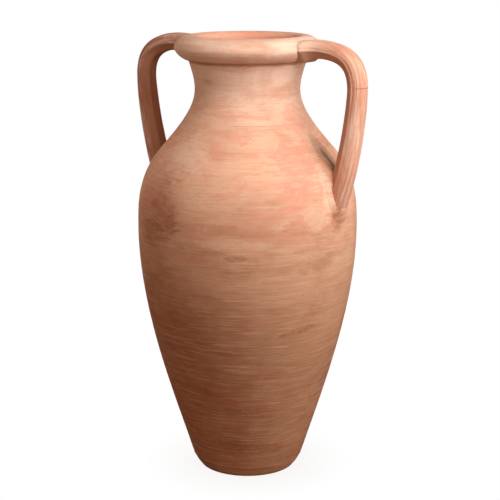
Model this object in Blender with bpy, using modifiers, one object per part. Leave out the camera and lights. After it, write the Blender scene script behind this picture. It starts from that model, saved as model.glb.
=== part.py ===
"""Terracotta amphora with two strap handles, built from the clay pieces that a potter makes and joins.

The vessel stands on z = 0 with its axis on the world Z axis, and its handles lie along +X and -X.
All sizes are in metres. Radii are measured from the vessel's axis. Heights above the foot's heel are
measured down from the crest of the rim, so a taller pot gets a longer lower body.
"""

import math

import bmesh
import bpy
from mathutils import Matrix

# ---- Overall sizes -------------------------------------------------------------------------------
TOTAL_HEIGHT = 0.800
BELLY_RADIUS = 0.200
NECK_RADIUS = 0.095
FOOT_RADIUS = 0.0888
WALL_THICKNESS = 0.015

# ---- Outline: heel, widest belly, turn of the shoulder, neck --------------------------------------
HEEL_SPREAD = 0.0175
HEEL_HEIGHT = 0.032
BELLY_BELOW_CREST = 0.344
SHOULDER_INSET = 0.042
SHOULDER_BELOW_CREST = 0.203
NECK_BELOW_CREST = 0.095
NECK_FLARE = 0.011

# ---- How steeply the outline leans at those marks, as radius gained per metre climbed -------------
FOOT_LEAN = 0.95
HEEL_LEAN = 0.32
SHOULDER_LEAN = -0.86
COLLAR_LEAN = 0.30

# ---- Rim bead ------------------------------------------------------------------------------------
RIM_HEIGHT = 0.044
RIM_OVERHANG = 0.0254
RIM_WIDEST_BELOW_CREST = 0.022
CREST_INSET = 0.0044
UNDERSIDE_PINCH = 1.3
MOUTH_ROLL_WIDTH = 0.0126
MOUTH_ROLL_HEIGHT = 0.010

# ---- Floor slab and the lapped joints between sections -------------------------------------------
SLAB_EDGE_HEIGHT = 0.020
FLOOR_THICKNESS = 0.028
BELLY_SEAM_BELOW_CREST = 0.320
NECK_SEAM_BELOW_CREST = 0.148
LAP_LENGTH = 0.012
LAP_COVER = 0.8
FIT_GAP = 0.0003

# ---- Seam coils pressed over the joints inside ---------------------------------------------------
SEAM_COIL_HALF_WIDTH = 0.014
SEAM_COIL_THICKNESS = 0.007

# ---- Strap handles, placed by their centre line --------------------------------------------------
LEFT_HANDLE_PAST_BELLY = 0.032
RIGHT_HANDLE_PAST_BELLY = 0.028
HANDLE_TOP_BELOW_CREST = 0.0035
HANDLE_TOP_RISE = 0.008
HANDLE_START_PAST_CREST = 0.0024
HANDLE_TURN_BELOW_CREST = 0.088
HANDLE_ROOT_BELOW_CREST = 0.315
HANDLE_ROOT_DEPTH = 0.023
STRAP_WIDTH = 0.040
STRAP_THICKNESS = 0.032
STRAP_ARRIS_DEPTH = 0.003
STRAP_BACK_SHARE = 0.5
STRAP_FLUTE_DEPTH = 0.0012
STRAP_RIDGES = 3
ROOT_FLARE = 1.18

# ---- Clay pads luted round the handles' lower roots ----------------------------------------------
PAD_BELOW_CREST = 0.260
PAD_HALF_WIDTH = 0.033
PAD_HALF_LENGTH = 0.056
PAD_THICKNESS = 0.011

# ---- Smoothness of the solids --------------------------------------------------------------------
TURN_STEPS = 40
OUTLINE_STEP = 0.026
COIL_STEPS = 6
STRAP_SIDES = 14
STRAP_STEPS = 9
PAD_SEGMENTS = 24
PAD_RINGS = 12

# ---- Sizes that follow from those above ----------------------------------------------------------
BELLY_HEIGHT = TOTAL_HEIGHT - BELLY_BELOW_CREST
SHOULDER_HEIGHT = TOTAL_HEIGHT - SHOULDER_BELOW_CREST
NECK_HEIGHT = TOTAL_HEIGHT - NECK_BELOW_CREST
BELLY_SEAM = TOTAL_HEIGHT - BELLY_SEAM_BELOW_CREST
NECK_SEAM = TOTAL_HEIGHT - NECK_SEAM_BELOW_CREST
RIM_SEAM = TOTAL_HEIGHT - RIM_HEIGHT
PAD_CENTRE_HEIGHT = TOTAL_HEIGHT - PAD_BELOW_CREST
RIM_SEAT_RADIUS = NECK_RADIUS + NECK_FLARE
RIM_RADIUS = RIM_SEAT_RADIUS + RIM_OVERHANG
CREST_RADIUS = RIM_SEAT_RADIUS - CREST_INSET

TERRACOTTA = (0.545, 0.262, 0.150)


def clear_scene():
    """Remove whatever the file opened with."""
    for old in list(bpy.data.objects):
        bpy.data.objects.remove(old, do_unlink=True)


def new_collection(name):
    collection = bpy.data.collections.new(name)
    bpy.context.scene.collection.children.link(collection)
    return collection


def clay(name, tint):
    """Unglazed fired clay, a little lighter or darker from one piece to the next."""
    material = bpy.data.materials.new(name)
    material.use_nodes = True
    shader = material.node_tree.nodes["Principled BSDF"]
    shader.inputs["Base Color"].default_value = (*(channel * tint for channel in TERRACOTTA), 1.0)
    shader.inputs["Roughness"].default_value = 0.88
    shader.inputs["Metallic"].default_value = 0.0
    return material


# ---- The outline ---------------------------------------------------------------------------------
def blend_curve(height, low, high):
    """Cubic through two (height, radius, lean) marks, with the stated lean at each."""
    low_height, low_radius, low_lean = low
    high_height, high_radius, high_lean = high
    span = high_height - low_height
    t = (height - low_height) / span
    return (
        (2 * t**3 - 3 * t**2 + 1) * low_radius
        + (t**3 - 2 * t**2 + t) * span * low_lean
        + (3 * t**2 - 2 * t**3) * high_radius
        + (t**3 - t**2) * span * high_lean
    )


def outer_radius(height):
    """Radius of the vessel's outer face below the rim."""
    marks = [
        (0.0, FOOT_RADIUS, FOOT_LEAN),
        (HEEL_HEIGHT, FOOT_RADIUS + HEEL_SPREAD, HEEL_LEAN),
        (BELLY_HEIGHT, BELLY_RADIUS, 0.0),
        (SHOULDER_HEIGHT, BELLY_RADIUS - SHOULDER_INSET, SHOULDER_LEAN),
        (NECK_HEIGHT, NECK_RADIUS, 0.0),
        (RIM_SEAM, RIM_SEAT_RADIUS, COLLAR_LEAN),
    ]
    for low, high in zip(marks, marks[1:]):
        if height <= high[0]:
            return blend_curve(height, low, high)
    return RIM_SEAT_RADIUS + COLLAR_LEAN * (height - RIM_SEAM)


def outer_lean(height, step=0.0005):
    return (outer_radius(height + step) - outer_radius(height - step)) / (2 * step)


def inner_point(height):
    """The point one wall thickness in from the outer face, square to it."""
    lean = outer_lean(height)
    length = math.hypot(1.0, lean)
    return (
        outer_radius(height) - WALL_THICKNESS / length,
        height + WALL_THICKNESS * lean / length,
    )


def inner_radius(height):
    """Radius of the hollow at a height, found by halving between two trial heights."""
    low = height - WALL_THICKNESS
    high = height + WALL_THICKNESS
    for _ in range(40):
        middle = (low + high) / 2
        if inner_point(middle)[1] < height:
            low = middle
        else:
            high = middle
    return inner_point(low)[0]


def heights_between(bottom, top, step=OUTLINE_STEP):
    """Even heights from bottom to top, close to a step apart."""
    count = max(1, round((top - bottom) / step))
    return [bottom + (top - bottom) * i / count for i in range(count + 1)]


def outer_face(bottom, top, growth=0.0, step=OUTLINE_STEP):
    """Outer face from top to bottom, as (radius, height) points."""
    return [(outer_radius(h) + growth, h) for h in reversed(heights_between(bottom, top, step))]


def inner_face(bottom, top):
    """Inner face from bottom to top, with points where a seam coil starts and ends."""
    coil_edges = [lap_top(seam) + side for seam in (BELLY_SEAM, NECK_SEAM)
                  for side in (-SEAM_COIL_HALF_WIDTH, SEAM_COIL_HALF_WIDTH)]
    stops = [bottom] + [edge for edge in coil_edges if bottom < edge < top] + [top]
    heights = [bottom]
    for low, high in zip(stops, stops[1:]):
        heights += heights_between(low, high)[1:]
    return [(inner_radius(h), h) for h in heights]


def lap_radius(seam):
    """Radius at which the lap steps, half way through the wall at a seam."""
    return (outer_radius(seam) + inner_radius(seam)) / 2


def lap_top(seam):
    """Top of the lap over a seam, lower where the wall leans so far that a full lap would break out."""
    half_wall = outer_radius(seam) - lap_radius(seam)
    room = LAP_COVER * half_wall / max(abs(outer_lean(seam)), 0.001)
    return seam + min(LAP_LENGTH, room)


def ellipse_arc(centre, half_width, half_height, start, end, steps, pinch=1.0):
    """Part of an ellipse round a (radius, height) centre, from start to end in quarter turns.

    A pinch above 1 draws each quarter in towards a straight slope.
    """
    points = []
    for i in range(steps + 1):
        angle = math.pi / 2 * (start + (end - start) * i / steps)
        out = math.copysign(abs(math.cos(angle)) ** pinch, math.cos(angle))
        up = math.copysign(abs(math.sin(angle)) ** pinch, math.sin(angle))
        points.append((centre[0] + half_width * out, centre[1] + half_height * up))
    return points


def rim_outer_face(growth=0.0):
    """Rolled bead from its crest, out to its widest and in to its seat, top to bottom."""
    widest = TOTAL_HEIGHT - RIM_WIDEST_BELOW_CREST
    upper = ellipse_arc(
        (CREST_RADIUS, widest),
        RIM_RADIUS - CREST_RADIUS + growth, RIM_WIDEST_BELOW_CREST + growth,
        start=1, end=0, steps=5,
    )
    lower = ellipse_arc(
        (RIM_SEAT_RADIUS, widest),
        RIM_RADIUS - RIM_SEAT_RADIUS + growth, widest - RIM_SEAM + growth,
        start=0, end=-1, steps=5, pinch=UNDERSIDE_PINCH,
    )
    return upper + lower[1:]


# ---- Turned pieces -------------------------------------------------------------------------------
def turned(name, outline, collection, material, closed=True):
    """A piece thrown on the wheel: its outline, turned round the vessel's axis."""
    mesh = bpy.data.meshes.new(name)
    points = [(radius, 0.0, height) for radius, height in outline]
    edges = [(i, i + 1) for i in range(len(points) - 1)]
    if closed:
        edges.append((len(points) - 1, 0))
    mesh.from_pydata(points, edges, [])
    piece = bpy.data.objects.new(name, mesh)
    collection.objects.link(piece)
    screw = piece.modifiers.new("turned_on_wheel", "SCREW")
    screw.axis = "Z"
    screw.angle = math.tau
    screw.steps = TURN_STEPS
    screw.render_steps = TURN_STEPS
    screw.use_merge_vertices = True
    screw.merge_threshold = 0.00005
    if material:
        mesh.materials.append(material)
    return piece


def floor_slab(collection):
    """Round slab that the pot stands on, with a raised middle that centres the wall above it."""
    spigot_radius = lap_radius(SLAB_EDGE_HEIGHT)
    outline = [(0.0, FLOOR_THICKNESS), (spigot_radius, FLOOR_THICKNESS), (spigot_radius, SLAB_EDGE_HEIGHT)]
    outline += outer_face(0.0, SLAB_EDGE_HEIGHT, step=SLAB_EDGE_HEIGHT / 4)
    outline += [(0.0, 0.0)]
    return turned("floor_slab", outline, collection, clay("clay_floor_slab", 0.90), closed=False)


def wall_section(name, seam_below, top_below, seam_above, tint, collection):
    """A ring of wall, rebated inside over what stands up below it, with a lap for the next."""
    seat = seam_below + FIT_GAP
    rebate_top = top_below + FIT_GAP
    rebate_radius = lap_radius(seam_below) + FIT_GAP
    tongue_top = lap_top(seam_above)
    outline = [(lap_radius(seam_above), tongue_top), (lap_radius(seam_above), seam_above)]
    outline += outer_face(seat, seam_above)
    outline += [(rebate_radius, seat), (rebate_radius, rebate_top)]
    outline += inner_face(rebate_top, tongue_top)
    return turned(name, outline, collection, clay("clay_" + name, tint))


def rim(collection):
    """Rolled collar that sits over the top of the neck and stiffens the mouth."""
    seat = RIM_SEAM + FIT_GAP
    rebate_top = lap_top(RIM_SEAM) + FIT_GAP
    rebate_radius = lap_radius(RIM_SEAM) + FIT_GAP
    outline = rim_outer_face()[:-1] + [(RIM_SEAT_RADIUS, seat)]
    outline += [(rebate_radius, seat), (rebate_radius, rebate_top), (inner_radius(RIM_SEAM), rebate_top)]
    roll = ellipse_arc(
        (CREST_RADIUS, TOTAL_HEIGHT - MOUTH_ROLL_HEIGHT), MOUTH_ROLL_WIDTH, MOUTH_ROLL_HEIGHT,
        start=2, end=1, steps=4,
    )
    outline += roll[:-1]
    return turned("rim", outline, collection, clay("clay_rim", 1.06))


def seam_coil(name, middle, collection):
    """Soft coil smeared over a joint inside, lying on both walls and thickest over the seam."""
    bottom = middle - SEAM_COIL_HALF_WIDTH
    top = middle + SEAM_COIL_HALF_WIDTH
    back = [(inner_radius(h) - FIT_GAP, h) for h in (top, middle + FIT_GAP, middle, bottom)]
    front = []
    for i in range(1, COIL_STEPS):
        height = bottom + (top - bottom) * i / COIL_STEPS
        swell = SEAM_COIL_THICKNESS * math.sin(math.pi * i / COIL_STEPS)
        front.append((inner_radius(height) - FIT_GAP - swell, height))
    return turned(name, back + front, collection, clay("clay_" + name, 0.95))


# ---- Handles -------------------------------------------------------------------------------------
def vessel_envelope(collection):
    """The vessel's outer shape, filled and grown by the fit gap, which trims what is luted on."""
    outline = [(0.0, TOTAL_HEIGHT + FIT_GAP)]
    outline += rim_outer_face(FIT_GAP)
    outline += outer_face(NECK_SEAM + FIT_GAP, RIM_SEAM - FIT_GAP, FIT_GAP)
    outline += outer_face(BELLY_SEAM + FIT_GAP, NECK_SEAM, FIT_GAP)
    outline += outer_face(SLAB_EDGE_HEIGHT + FIT_GAP, BELLY_SEAM, FIT_GAP)
    outline += [(outer_radius(0.0), 0.0), (0.0, 0.0)]
    return turned("vessel_envelope", outline, collection, None, closed=False)


def strap_outline(growth):
    """Cross-section of a strap: ridged rounded front, an arris along each side and a narrower back."""
    half_width = STRAP_WIDTH / 2 + growth
    half_thickness = STRAP_THICKNESS / 2 + growth
    front_depth = half_thickness + STRAP_ARRIS_DEPTH
    outline = []
    for i in range(STRAP_SIDES + 1):
        angle = math.pi * i / STRAP_SIDES
        across = math.copysign(abs(math.cos(angle)) ** 0.8, math.cos(angle))
        through = abs(math.sin(angle)) ** 0.8
        flute = STRAP_FLUTE_DEPTH * (math.cos(math.pi * STRAP_RIDGES * across) - 1.0) / 2 * through
        outline.append((across * half_width, through * front_depth - STRAP_ARRIS_DEPTH + flute))
    outline.append((-STRAP_BACK_SHARE * half_width, -half_thickness))
    outline.append((STRAP_BACK_SHARE * half_width, -half_thickness))
    return outline


def strap_section(name, growth, collection):
    """The strap's cross-section as a flat closed curve for sweeping."""
    outline = strap_outline(growth)
    section = bpy.data.curves.new(name, "CURVE")
    section.dimensions = "2D"
    spline = section.splines.new("POLY")
    spline.points.add(len(outline) - 1)
    spline.use_cyclic_u = True
    for point, (across, through) in zip(spline.points, outline):
        point.co = (across, through, 0.0, 1.0)
    holder = bpy.data.objects.new(name, section)
    collection.objects.link(holder)
    return holder


def handle_path(name, past_belly, section, collection):
    """Strap swept from the rim, out and over, and down into the shoulder, in the XZ plane."""
    start_radius = CREST_RADIUS + HANDLE_START_PAST_CREST
    start_height = TOTAL_HEIGHT - HANDLE_TOP_BELOW_CREST - STRAP_THICKNESS / 2
    turn_radius = BELLY_RADIUS + past_belly
    turn_height = TOTAL_HEIGHT - HANDLE_TURN_BELOW_CREST
    root_height = TOTAL_HEIGHT - HANDLE_ROOT_BELOW_CREST
    root_radius = outer_radius(root_height) - HANDLE_ROOT_DEPTH
    spread = turn_radius - start_radius
    drop = start_height - turn_height
    fall = turn_height - root_height
    knots = [
        (start_radius, start_height, (-0.5 * spread, 0.0), (0.66 * spread, HANDLE_TOP_RISE), 1.0),
        (turn_radius, turn_height, (0.002, 0.93 * drop), (-0.003, -0.25 * fall), 1.0),
        (root_radius, root_height, (0.034, 0.33 * fall), (-0.01, -0.1 * fall), ROOT_FLARE),
    ]
    curve = bpy.data.curves.new(name, "CURVE")
    curve.dimensions = "3D"
    curve.twist_mode = "MINIMUM"
    curve.resolution_u = STRAP_STEPS
    curve.bevel_mode = "OBJECT"
    curve.bevel_object = section
    curve.use_fill_caps = True
    spline = curve.splines.new("BEZIER")
    spline.bezier_points.add(len(knots) - 1)
    for point, (radius, height, before, after, flare) in zip(spline.bezier_points, knots):
        point.handle_left_type = "FREE"
        point.handle_right_type = "FREE"
        point.co = (radius, 0.0, height)
        point.handle_left = (radius + before[0], 0.0, height + before[1])
        point.handle_right = (radius + after[0], 0.0, height + after[1])
        point.radius = flare
    path = bpy.data.objects.new(name, curve)
    collection.objects.link(path)
    return path


def solid_from_curve(path, name, collection):
    """Turn a swept curve into one closed mesh and drop the curve."""
    bpy.context.view_layer.update()
    evaluated = path.evaluated_get(bpy.context.evaluated_depsgraph_get())
    mesh = bpy.data.meshes.new_from_object(evaluated)
    mesh.name = name
    cleaner = bmesh.new()
    cleaner.from_mesh(mesh)
    bmesh.ops.remove_doubles(cleaner, verts=cleaner.verts, dist=0.00001)
    bmesh.ops.recalc_face_normals(cleaner, faces=cleaner.faces)
    cleaner.to_mesh(mesh)
    cleaner.free()
    mesh.materials.clear()
    solid = bpy.data.objects.new(name, mesh)
    solid.matrix_world = path.matrix_world.copy()
    collection.objects.link(solid)
    bpy.data.objects.remove(path, do_unlink=True)
    return solid


def cut(piece, cutter, label):
    trim = piece.modifiers.new(label, "BOOLEAN")
    trim.operation = "DIFFERENCE"
    trim.solver = "EXACT"
    trim.object = cutter


def handle(name, past_belly, turn, section, envelope, collection):
    """Pulled strap handle, its two ends trimmed to the rim and the shoulder that it is luted to."""
    path = handle_path(name + "_path", past_belly, section, collection)
    strap = solid_from_curve(path, name, collection)
    strap.data.materials.append(clay("clay_" + name, 0.98))
    strap.data.transform(turn)
    cut(strap, envelope, "trimmed_to_vessel")
    return strap


def root_pad(name, strap_room, turn, envelope, collection):
    """Low pad of clay pressed round the handle's lower root and smoothed into the shoulder."""
    ball = bmesh.new()
    bmesh.ops.create_uvsphere(ball, u_segments=PAD_SEGMENTS, v_segments=PAD_RINGS, radius=1.0)
    mesh = bpy.data.meshes.new(name)
    ball.to_mesh(mesh)
    ball.free()
    shape = Matrix.Diagonal((PAD_THICKNESS, PAD_HALF_WIDTH, PAD_HALF_LENGTH, 1.0))
    tilt = Matrix.Rotation(math.atan(outer_lean(PAD_CENTRE_HEIGHT)), 4, "Y")
    place = Matrix.Translation((outer_radius(PAD_CENTRE_HEIGHT), 0.0, PAD_CENTRE_HEIGHT))
    mesh.transform(turn @ place @ tilt @ shape)
    mesh.materials.append(clay("clay_" + name, 0.93))
    pad = bpy.data.objects.new(name, mesh)
    collection.objects.link(pad)
    cut(pad, envelope, "trimmed_to_vessel")
    cut(pad, strap_room, "room_for_strap")
    return pad


def shade(pieces):
    for piece in pieces.objects:
        piece.data.shade_smooth()
        piece.data.set_sharp_from_angle(angle=math.radians(35))


def build():
    clear_scene()
    pieces = new_collection("amphora")
    cutters = new_collection("cutters")

    floor_slab(pieces)
    wall_section("lower_body", SLAB_EDGE_HEIGHT, FLOOR_THICKNESS, BELLY_SEAM, 0.92, pieces)
    wall_section("upper_body", BELLY_SEAM, lap_top(BELLY_SEAM), NECK_SEAM, 1.0, pieces)
    wall_section("neck", NECK_SEAM, lap_top(NECK_SEAM), RIM_SEAM, 1.04, pieces)
    rim(pieces)
    seam_coil("belly_seam_coil", lap_top(BELLY_SEAM), pieces)
    seam_coil("neck_seam_coil", lap_top(NECK_SEAM), pieces)

    envelope = vessel_envelope(cutters)
    section = strap_section("strap_section", 0.0, cutters)
    room_section = strap_section("strap_room_section", FIT_GAP, cutters)
    handles = (("left", LEFT_HANDLE_PAST_BELLY, 1), ("right", RIGHT_HANDLE_PAST_BELLY, 0))
    for side, past_belly, half_turns in handles:
        turn = Matrix.Rotation(math.pi * half_turns, 4, "Z")
        handle("handle_" + side, past_belly, turn, section, envelope, pieces)
        room_path = handle_path("strap_room_path_" + side, past_belly, room_section, cutters)
        strap_room = solid_from_curve(room_path, "strap_room_" + side, cutters)
        strap_room.data.transform(turn)
        root_pad("root_pad_" + side, strap_room, turn, envelope, pieces)

    shade(pieces)
    for helper in cutters.objects:
        helper.hide_render = True
        helper.display_type = "WIRE"


build()
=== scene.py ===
import math

import bmesh
import bpy
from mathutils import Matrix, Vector, kdtree, noise


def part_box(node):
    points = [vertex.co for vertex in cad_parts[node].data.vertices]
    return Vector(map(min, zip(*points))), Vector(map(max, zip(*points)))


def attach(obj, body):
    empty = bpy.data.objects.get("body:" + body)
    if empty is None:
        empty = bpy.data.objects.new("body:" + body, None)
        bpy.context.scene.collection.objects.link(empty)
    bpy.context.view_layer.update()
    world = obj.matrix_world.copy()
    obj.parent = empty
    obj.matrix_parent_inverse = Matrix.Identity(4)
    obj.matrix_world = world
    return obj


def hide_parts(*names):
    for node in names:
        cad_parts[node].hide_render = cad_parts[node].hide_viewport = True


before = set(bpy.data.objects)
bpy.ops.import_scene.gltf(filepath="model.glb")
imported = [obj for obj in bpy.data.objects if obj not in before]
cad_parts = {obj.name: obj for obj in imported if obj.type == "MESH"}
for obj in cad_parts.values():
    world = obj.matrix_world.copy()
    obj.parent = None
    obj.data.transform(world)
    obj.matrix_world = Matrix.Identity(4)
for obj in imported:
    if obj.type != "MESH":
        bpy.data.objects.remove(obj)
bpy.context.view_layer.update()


# ---- Camera ---------------------------------------------------------------------------------------
# A long lens a little above the rim, in front of the vessel and to its right, looking slightly down.
# A small sideways shift of the lens leaves the vessel a little left of the middle.
CAMERA_BEARING = math.radians(34.96)
CAMERA_DISTANCE = 2.4
CAMERA_HEIGHT = 0.9706
CAMERA_DIP = 0.2304
CAMERA_LENS = 96.42
CAMERA_SHIFT = 0.005
SENSOR_WIDTH = 36.0

bpy.ops.object.select_all(action="DESELECT")
bpy.ops.object.camera_add(
    location=(
        CAMERA_DISTANCE * math.sin(CAMERA_BEARING),
        -CAMERA_DISTANCE * math.cos(CAMERA_BEARING),
        CAMERA_HEIGHT,
    ),
    rotation=(math.pi / 2 - CAMERA_DIP, 0.0, CAMERA_BEARING),
)
camera = bpy.context.object
camera.data.sensor_width = SENSOR_WIDTH
camera.data.lens = CAMERA_LENS
camera.data.shift_x = CAMERA_SHIFT
camera.data.dof.use_dof = False
bpy.context.scene.camera = camera
bpy.context.scene.view_settings.view_transform = "Standard"


# ---- Studio ---------------------------------------------------------------------------------------
# A white sweep that throws little light back up at the foot, a large soft box above the camera's right
# shoulder, a smaller one low on the right, a faint warm one on the left with another behind it for the
# edge, and a weak warm fill from all round.
FLOOR_SIZE = 80.0
FLOOR_CLEARANCE = 0.0004
CONTACT_REACH = 0.10
WHITE = (1.0, 1.0, 1.0, 1.0)
CONTACT_SHADE = (0.90, 0.88, 0.86, 1.0)
BOUNCE_COLOUR = (0.36, 0.24, 0.16, 1.0)
LIGHT_AIM = (0.0, 0.0, 0.55)
KEY_COLOUR = (1.0, 0.97, 0.93)
WARM_COLOUR = (1.0, 0.80, 0.66)
SOFT_BOXES = [
    # name, bearing to the camera's right, elevation, distance, size, power, colour
    ("key_soft_box", 38.0, 38.0, 1.20, 0.80, 14.6, KEY_COLOUR),
    ("side_soft_box", 76.0, 10.0, 1.30, 0.50, 5.0, KEY_COLOUR),
    ("left_soft_box", -40.0, 30.0, 1.20, 0.60, 2.6, WARM_COLOUR),
    ("edge_soft_box", -140.0, 4.0, 1.10, 0.50, 3.2, WARM_COLOUR),
]
FILL_COLOUR = (1.0, 0.66, 0.50, 1.0)
FILL_STRENGTH = 0.19


def add_node(tree, kind, values=None, **options):
    """Add a shader node, choose its options, and set its inputs or wire them to other nodes."""
    new = tree.nodes.new(kind)
    for option, choice in options.items():
        setattr(new, option, choice)
    for name, value in (values or {}).items():
        if isinstance(value, bpy.types.NodeSocket):
            tree.links.new(value, new.inputs[name])
        else:
            new.inputs[name].default_value = value
    return new


def shown_to_camera(tree, shown, lighting):
    """One shader for the camera to see, and another that lights the vessel."""
    seen = add_node(tree, "ShaderNodeLightPath")
    either = {0: seen.outputs["Is Camera Ray"], 1: lighting.outputs[0], 2: shown.outputs[0]}
    return add_node(tree, "ShaderNodeMixShader", either).outputs[0]


for name, bearing, elevation, distance, size, power, colour in SOFT_BOXES:
    round_vessel = CAMERA_BEARING + math.radians(bearing)
    level = distance * math.cos(math.radians(elevation))
    away = Vector((
        level * math.sin(round_vessel),
        -level * math.cos(round_vessel),
        distance * math.sin(math.radians(elevation)),
    ))
    bpy.ops.object.light_add(type="AREA", location=Vector(LIGHT_AIM) + away)
    light = bpy.context.object
    light.name = name
    light.rotation_euler = (-away).to_track_quat("-Z", "Y").to_euler()
    light.data.size = size
    light.data.energy = power
    light.data.color = colour

world = bpy.data.worlds.new("studio")
bpy.context.scene.world = world
world.use_nodes = True
sky = world.node_tree
sky.nodes.clear()
fill = add_node(sky, "ShaderNodeBackground", {"Color": FILL_COLOUR, "Strength": FILL_STRENGTH})
backdrop = add_node(sky, "ShaderNodeBackground", {"Color": WHITE, "Strength": 1.0})
add_node(sky, "ShaderNodeOutputWorld", {"Surface": shown_to_camera(sky, backdrop, fill)})

bpy.ops.object.select_all(action="DESELECT")
bpy.ops.mesh.primitive_plane_add(size=FLOOR_SIZE, location=(0.0, 0.0, -FLOOR_CLEARANCE))
floor = bpy.context.object
floor.name = "studio_sweep"
sweep = bpy.data.materials.new("studio_sweep")
sweep.use_nodes = True
tree = sweep.node_tree
tree.nodes.clear()
near = add_node(tree, "ShaderNodeAmbientOcclusion", {"Distance": CONTACT_REACH}, samples=8)
contact = add_node(
    tree, "ShaderNodeMix", {0: near.outputs["AO"], 6: CONTACT_SHADE, 7: WHITE}, data_type="RGBA",
)
paper = add_node(tree, "ShaderNodeEmission", {"Color": contact.outputs[2], "Strength": 1.0})
bounce = add_node(tree, "ShaderNodeBsdfDiffuse", {"Color": BOUNCE_COLOUR})
add_node(tree, "ShaderNodeOutputMaterial", {"Surface": shown_to_camera(tree, paper, bounce)})
floor.data.materials.append(sweep)


# ---- Floor slab -----------------------------------------------------------------------------------
# The round base, patted out on the wheel head and cut off it with a wire, with the start of the wall
# pulled up round its edge. Red earthenware, browner and darker than the wall above: partly its own colour,
# partly painted shade. It carries everything else.
TOTAL_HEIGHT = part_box("rim")[1].z
BELLY_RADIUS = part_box("lower_body")[1].y
NECK_RADIUS = 0.095
FOOT_RADIUS = 0.0888
HEEL_HEIGHT = 0.032
HEEL_SPREAD = 0.0175
SHOULDER_DRAW_IN = 0.042
WALL_THICKNESS = 0.015
SLAB_EDGE_HEIGHT = 0.020
FLOOR_THICKNESS = 0.028
FIT_GAP = 0.0003
SKIN_GAP = 0.00004
WHEEL_STEPS = 180
SKIN_STEP = 0.0017
HOLLOW_STEP = 0.004
WOBBLE_DEPTH = 0.0005
RILLING_DEPTH = 0.00030
FINGER_DEPTH = 0.0009
FINGER_PITCH = 0.019
FINGER_FADE = 0.02
FACE_TOLERANCE = 0.0002
NEAR_AXIS = 0.01
WALL_CREASE = math.radians(40)
SOFT_CREASE = math.radians(60)
WELD = 0.00001
HALVINGS = 40
FLAT_SHARES = (0.0, 0.15, 0.3, 0.45, 0.6, 0.75, 0.9)
UNDERSIDE_EDGE = 0.97
UNDERSIDE_TOLERANCE = 0.0001

BELLY_HEIGHT = TOTAL_HEIGHT - 0.344
SHOULDER_HEIGHT = TOTAL_HEIGHT - 0.203
NECK_HEIGHT = TOTAL_HEIGHT - 0.095
RIM_SEAM = TOTAL_HEIGHT - 0.044
RIM_SEAT_RADIUS = NECK_RADIUS + 0.011
COLLAR_LEAN = 0.30
OUTLINE_MARKS = [
    # height, radius, lean
    (0.0, FOOT_RADIUS, 0.95),
    (HEEL_HEIGHT, FOOT_RADIUS + HEEL_SPREAD, 0.32),
    (BELLY_HEIGHT, BELLY_RADIUS, 0.0),
    (SHOULDER_HEIGHT, BELLY_RADIUS - SHOULDER_DRAW_IN, -0.86),
    (NECK_HEIGHT, NECK_RADIUS, 0.0),
    (RIM_SEAM, RIM_SEAT_RADIUS, COLLAR_LEAN),
]


def outer_radius(height):
    """Radius of the wall's outer face, on a smooth curve through the marks at their stated leans."""
    for low, high in zip(OUTLINE_MARKS, OUTLINE_MARKS[1:]):
        if height <= high[0]:
            span = high[0] - low[0]
            t = (height - low[0]) / span
            return (
                (2 * t**3 - 3 * t**2 + 1) * low[1]
                + (t**3 - 2 * t**2 + t) * span * low[2]
                + (3 * t**2 - 2 * t**3) * high[1]
                + (t**3 - t**2) * span * high[2]
            )
    return RIM_SEAT_RADIUS + COLLAR_LEAN * (height - RIM_SEAM)


def outer_lean(height, step=0.0005):
    return (outer_radius(height + step) - outer_radius(height - step)) / (2 * step)


def inner_radius(height):
    """Radius of the hollow, one wall thickness in from the outer face and square to it."""
    low = height - WALL_THICKNESS
    high = height + WALL_THICKNESS
    for _ in range(HALVINGS):
        middle = (low + high) / 2
        lean = outer_lean(middle)
        if middle + WALL_THICKNESS * lean / math.hypot(1.0, lean) < height:
            low = middle
        else:
            high = middle
    return outer_radius(low) - WALL_THICKNESS / math.hypot(1.0, outer_lean(low))


def lap_radius(seam):
    """Radius half way through the wall, where the joint between two sections steps."""
    return (outer_radius(seam) + inner_radius(seam)) / 2


def heights_between(bottom, top, step):
    count = max(1, round((top - bottom) / step))
    return [bottom + (top - bottom) * i / count for i in range(count + 1)]


def skin(bottom, top, step=SKIN_STEP):
    """Outer face from top to bottom, as (radius, height) points."""
    return [(outer_radius(h), h) for h in reversed(heights_between(bottom, top, step))]


def unevenness(*place):
    """Smooth noise from about 0 to 1 at a place."""
    return 0.5 + 0.5 * noise.noise(Vector(place))


def wheel_marks(azimuth, height):
    """How far the outer face is pressed in: slow wobble, and fine rills left by wet fingers."""
    round_x = math.cos(azimuth)
    round_y = math.sin(azimuth)
    wobble = unevenness(round_x * 1.3, round_y * 1.3, height * 7.0)
    rill = unevenness(round_x * 1.6, round_y * 1.6, height * 150.0)
    groove = unevenness(round_x * 0.9 + 7.0, round_y * 0.9, height * 46.0)
    return WOBBLE_DEPTH * wobble + RILLING_DEPTH * (rill + groove)


def finger_marks(azimuth, height):
    """How far the inner face is pressed out into the wall, in one long climbing spiral."""
    turn = azimuth / math.tau
    ridge = 0.5 + 0.5 * math.cos(math.tau * (height / FINGER_PITCH - turn))
    drift = noise.noise(Vector((math.cos(azimuth), math.sin(azimuth), height * 9.0)))
    return FINGER_DEPTH * ridge * (0.7 + 0.3 * drift)


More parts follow.
